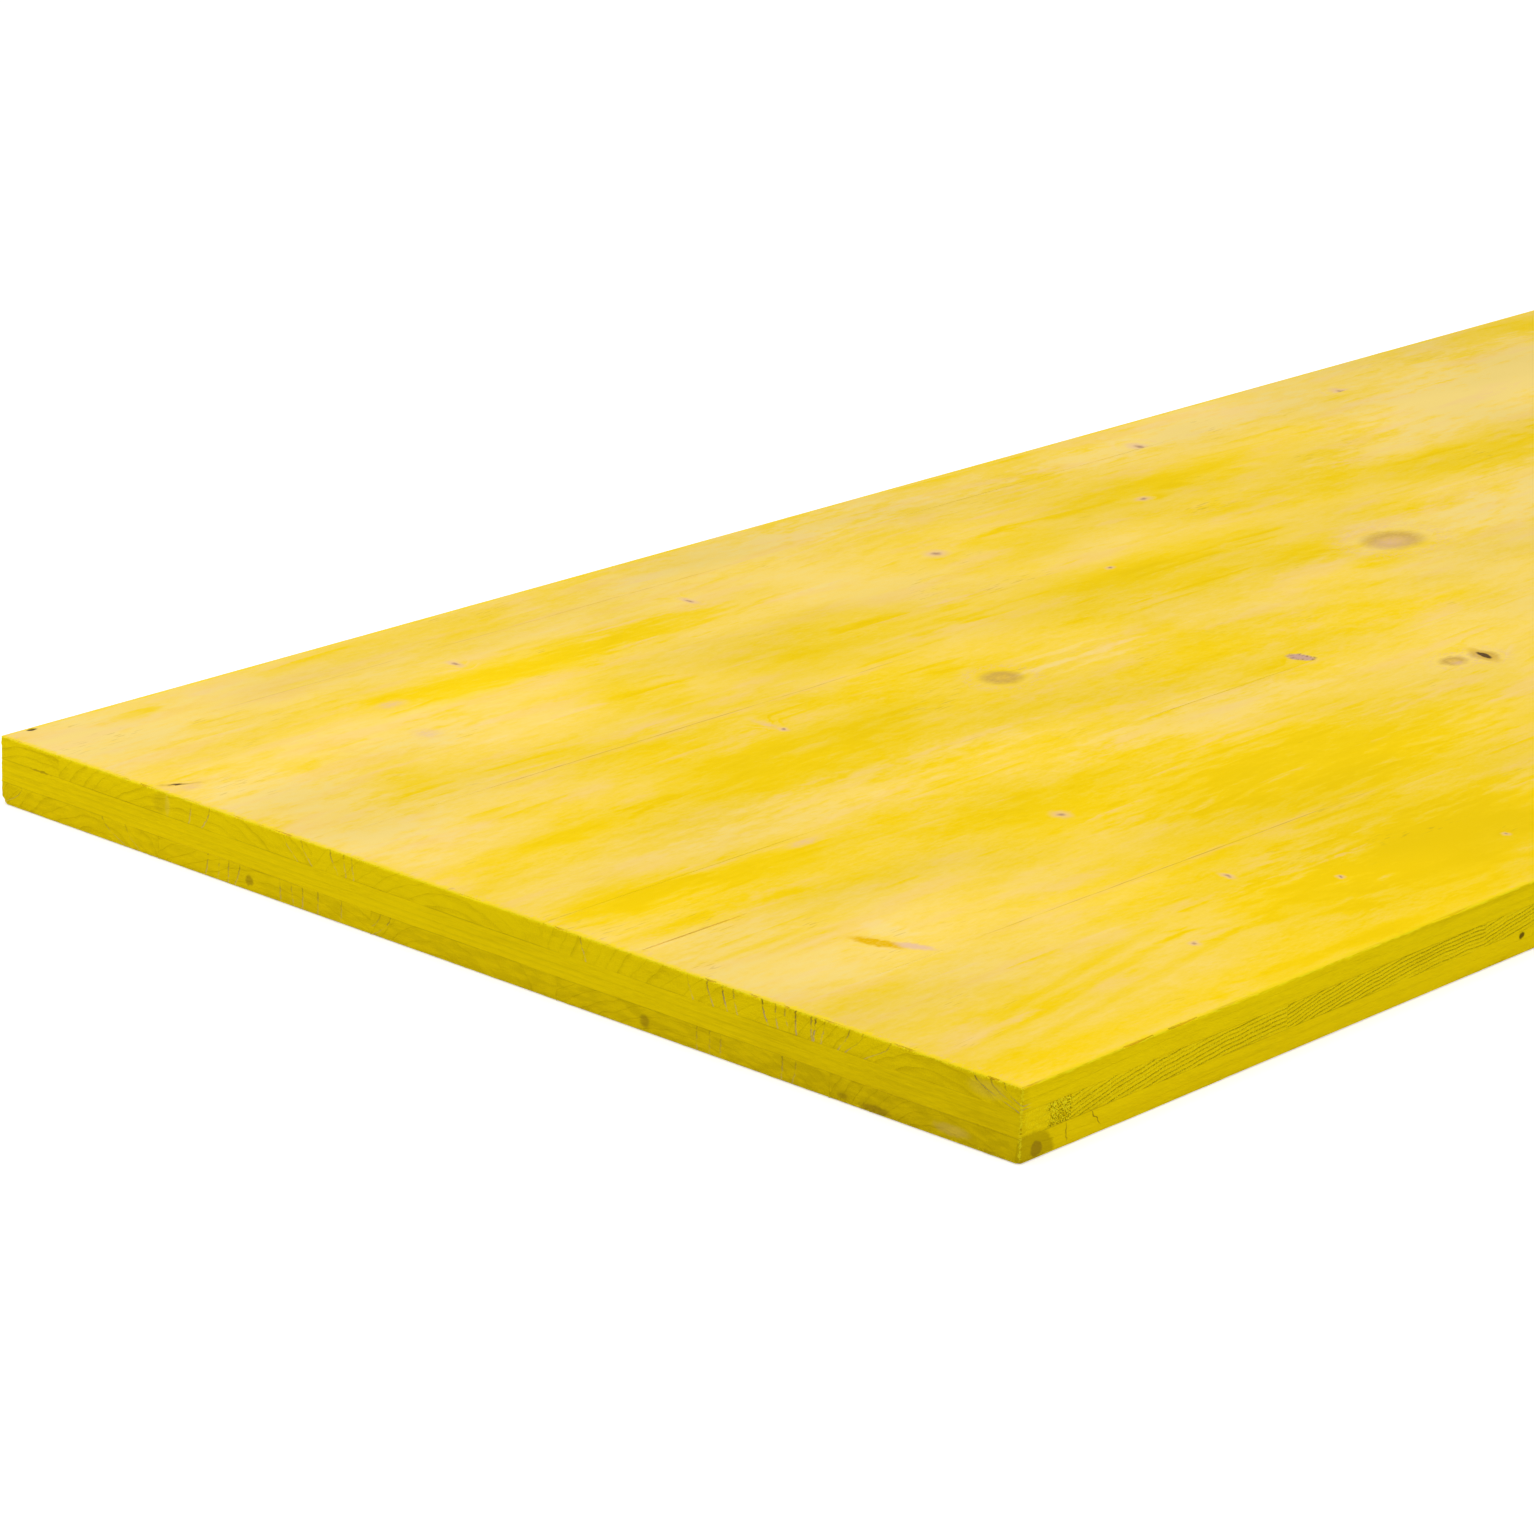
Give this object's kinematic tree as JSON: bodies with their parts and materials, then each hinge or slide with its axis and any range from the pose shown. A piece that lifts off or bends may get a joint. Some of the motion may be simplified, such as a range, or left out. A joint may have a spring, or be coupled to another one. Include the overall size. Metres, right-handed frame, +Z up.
{
  "type": "three-layer shuttering sheet",
  "caption": "Flat rectangular sheet of yellow glazed softwood boards, glued in crossed layers, used as shuttering for concrete and as a hard-wearing panel.",
  "frame": {"origin": "middle of the underside", "axes": "+X along the sheet and the grain of its faces, +Y across it, +Z up through its thickness"},
  "size_m": [2, 0.5, 0.027],
  "materials": {
    "face_boards": "satin yellow glaze, long grain with knots showing through",
    "core_strips": "satin yellow glaze over sawn end grain"
  },
  "bodies": {
    "root": {"top_board_1": "face_boards", "top_board_2": "face_boards", "top_board_3": "face_boards", "top_board_4": "face_boards", "top_board_5": "face_boards", "core_strip_1": "core_strips", "core_strip_2": "core_strips", "core_strip_3": "core_strips", "core_strip_4": "core_strips", "core_strip_5": "core_strips", "core_strip_6": "core_strips", "core_strip_7": "core_strips", "core_strip_8": "core_strips", "core_strip_9": "core_strips", "core_strip_10": "core_strips", "core_strip_11": "core_strips", "core_strip_12": "core_strips", "core_strip_13": "core_strips", "core_strip_14": "core_strips", "core_strip_15": "core_strips", "core_strip_16": "core_strips", "core_strip_17": "core_strips", "core_strip_18": "core_strips", "bottom_board_1": "face_boards", "bottom_board_2": "face_boards", "bottom_board_3": "face_boards", "bottom_board_4": "face_boards", "bottom_board_5": "face_boards"}
  },
  "joints": []
}
